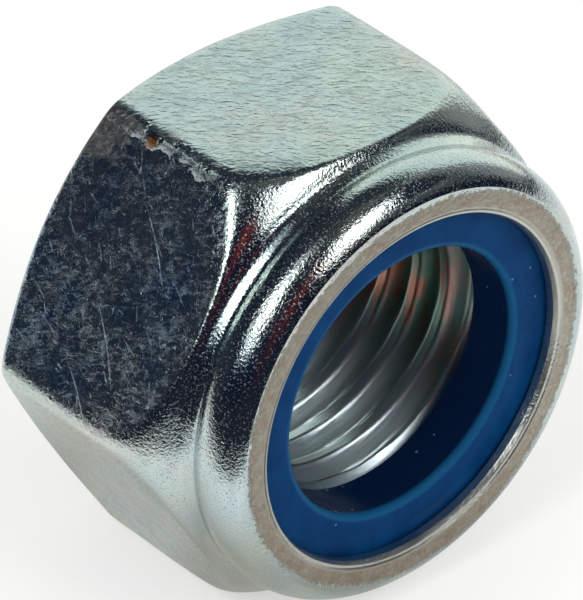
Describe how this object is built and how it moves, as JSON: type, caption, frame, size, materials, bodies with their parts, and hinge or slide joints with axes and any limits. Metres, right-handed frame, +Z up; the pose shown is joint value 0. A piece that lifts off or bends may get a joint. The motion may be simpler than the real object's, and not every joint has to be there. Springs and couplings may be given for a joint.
{
  "type": "nylon insert lock nut",
  "caption": "Hexagon lock nut with a domed shoulder, a crimped collar and a blue nylon ring that grips the bolt's thread.",
  "frame": {"origin": "on the flat that the nut lies on, under its middle: halfway along the thread axis, in the plane of the lowest hexagon flat", "axes": "+Y along the thread axis, from the collar to the bearing face; +Z up, square to the two level flats; +X to the right seen from the collar end"},
  "size_m": [0.0274, 0.0154, 0.024],
  "materials": {
    "zinc_plated_steel": "zinc plated with a clear blue passivation, semi-bright, formed surfaces lightly scratched and dimpled",
    "blue_nylon": "moulded nylon, saturated mid blue, glossy"
  },
  "bodies": {
    "root": {"nut_body": "zinc_plated_steel", "nylon_insert": "blue_nylon"}
  },
  "joints": []
}
